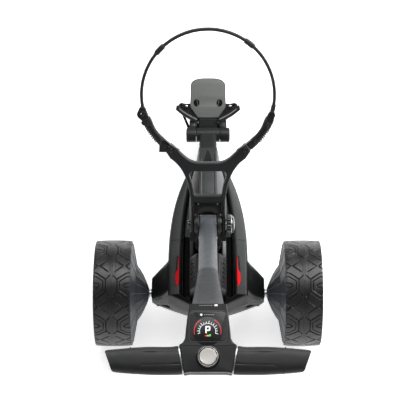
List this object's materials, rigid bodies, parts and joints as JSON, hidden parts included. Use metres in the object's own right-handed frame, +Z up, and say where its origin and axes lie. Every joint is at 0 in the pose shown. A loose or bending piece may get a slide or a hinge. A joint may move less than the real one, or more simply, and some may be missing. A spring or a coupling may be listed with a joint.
{
  "type": "electric golf trolley",
  "caption": "Electric golf trolley with wide rear drive wheels, folding front wheel and bag cradle, bag yoke with strap ring, folding stem and T-bar handle with display.",
  "frame": {"origin": "centre of the bounding box in plan, on the ground under the wheels", "axes": "+Y forward along the trolley, +X to the right of a person pushing it, +Z up"},
  "size_m": [0.59, 1.0248, 0.9217],
  "materials": {
    "shell": "satin moulded plastic, charcoal",
    "gloss_black": "glossy moulded plastic, black",
    "satin_black": "fine-grained moulded plastic, near black",
    "mid_grey": "fine-grained moulded plastic, mid grey",
    "pale_grey": "fine-grained moulded plastic, light grey edge band",
    "slate": "satin moulded plastic, blue-grey",
    "rubber": "soft-touch rubber, black",
    "tyre": "moulded tyre rubber, black",
    "graphite": "anodised aluminium, graphite",
    "steel": "brushed and machined steel",
    "red": "glossy moulded plastic, red",
    "screen_glass": "dark display glass"
  },
  "bodies": {
    "chassis": {"upper_shell": "shell", "lower_tray": "satin_black", "left_intake_trim": "red", "right_intake_trim": "red", "left_axle_housing": "gloss_black", "right_axle_housing": "gloss_black", "left_axle_bearing": "steel", "right_axle_bearing": "steel", "rear_bumper": "mid_grey", "backbone_tube": "satin_black", "spine_cover": "mid_grey", "hinge_bracket": "satin_black", "stem_pivot_pin": "steel", "front_hinge_pin": "steel", "motor_case": "steel", "gearbox_housing": "satin_black", "gearbox_cover": "satin_black", "control_unit": "gloss_black"},
    "battery": {"battery_case": "shell", "battery_handle": "rubber"},
    "drive_shaft": {"drive_shaft": "steel", "drive_gear": "steel"},
    "motor_rotor": {"motor_pinion": "steel"},
    "left_wheel": {"left_tyre": "tyre", "left_rim": "satin_black", "left_hub_cone": "slate"},
    "right_wheel": {"right_tyre": "tyre", "right_rim": "satin_black", "right_hub_cone": "slate"},
    "left_release": {"left_release_button": "mid_grey"},
    "right_release": {"right_release_button": "mid_grey"},
    "front_carrier": {"front_carrier": "satin_black", "bag_base_plate": "mid_grey", "front_axle": "steel"},
    "front_wheel": {"front_tyre": "tyre", "front_rim": "satin_black"},
    "left_bag_arm": {"left_bag_arm": "pale_grey"},
    "right_bag_arm": {"right_bag_arm": "pale_grey"},
    "stem": {"stem_knuckle": "satin_black", "stem_tube": "graphite", "neck_cover": "satin_black", "head_upper_case": "satin_black", "head_lower_case": "satin_black", "display_screen": "screen_glass", "left_grip": "rubber", "right_grip": "rubber", "left_trim_ring": "steel", "right_trim_ring": "steel"},
    "speed_dial": {"speed_dial": "gloss_black"},
    "dial_button": {"dial_button": "steel"},
    "clamp_knob": {"clamp_knob": "gloss_black"},
    "bag_support": {"yoke": "satin_black", "left_support_arm": "satin_black", "right_support_arm": "satin_black", "bag_strap": "rubber"}
  },
  "joints": [
    {"name": "stem_fold", "type": "hinge", "parent": "chassis", "child": "stem", "pos_m": [0, -0.00058, 0.43], "axis": [-1, 0, 0], "range_deg": [0, 114]},
    {"name": "bag_support_fold", "type": "hinge", "parent": "chassis", "child": "bag_support", "pos_m": [0, -0.00058, 0.43], "axis": [-1, 0, 0], "range_deg": [0, 43]},
    {"name": "front_fold", "type": "hinge", "parent": "chassis", "child": "front_carrier", "pos_m": [0, 0.31842, 0.27], "axis": [-1, 0, 0], "range_deg": [0, 80]},
    {"name": "left_wheel_spin", "type": "hinge", "parent": "chassis", "child": "left_wheel", "pos_m": [-0.2475, -0.08258, 0.14], "axis": [1, 0, 0], "continuous": true},
    {"name": "right_wheel_spin", "type": "hinge", "parent": "chassis", "child": "right_wheel", "pos_m": [0.2475, -0.08258, 0.14], "axis": [1, 0, 0], "continuous": true},
    {"name": "shaft_spin", "type": "hinge", "parent": "chassis", "child": "drive_shaft", "pos_m": [0, -0.08258, 0.14], "axis": [1, 0, 0], "continuous": true},
    {"name": "motor_spin", "type": "hinge", "parent": "chassis", "child": "motor_rotor", "pos_m": [0.014, -0.05258, 0.17219], "axis": [1, 0, 0], "continuous": true},
    {"name": "front_wheel_spin", "type": "hinge", "parent": "front_carrier", "child": "front_wheel", "pos_m": [0, 0.40742, 0.105], "axis": [1, 0, 0], "continuous": true},
    {"name": "left_bag_arm_swing", "type": "hinge", "parent": "front_carrier", "child": "left_bag_arm", "pos_m": [-0.04, 0.35773, 0.25265], "axis": [0, -0.3746, 0.9272], "range_deg": [0, 25]},
    {"name": "right_bag_arm_swing", "type": "hinge", "parent": "front_carrier", "child": "right_bag_arm", "pos_m": [0.04, 0.35773, 0.25265], "axis": [0, 0.3746, -0.9272], "range_deg": [0, 25]},
    {"name": "battery_lift", "type": "slide", "parent": "chassis", "child": "battery", "axis": [0, 0, 1], "range_m": [0, 0.04]},
    {"name": "clamp_knob_turn", "type": "hinge", "parent": "chassis", "child": "clamp_knob", "pos_m": [0.0454, -0.00058, 0.43], "axis": [1, 0, 0], "range_deg": [0, 270]},
    {"name": "speed_dial_turn", "type": "hinge", "parent": "stem", "child": "speed_dial", "pos_m": [0, -0.4806, 0.91049], "axis": [0, -0.0698, 0.9976], "continuous": true},
    {"name": "dial_press", "type": "slide", "parent": "stem", "child": "dial_button", "axis": [0, 0.0698, -0.9976], "range_m": [0, 0.002], "stiffness_N_per_m": 600, "springref_m": -0.002},
    {"name": "left_release_press", "type": "slide", "parent": "left_wheel", "child": "left_release", "axis": [1, 0, 0], "range_m": [0, 0.0025], "stiffness_N_per_m": 800, "springref_m": -0.002},
    {"name": "right_release_press", "type": "slide", "parent": "right_wheel", "child": "right_release", "axis": [-1, 0, 0], "range_m": [0, 0.0025], "stiffness_N_per_m": 800, "springref_m": -0.002}
  ],
  "couplings": [
    {"joint": "motor_spin", "follows": "shaft_spin", "ratio": -2.6667},
    {"joint": "bag_support_fold", "follows": "stem_fold", "ratio": 0.377}
  ]
}
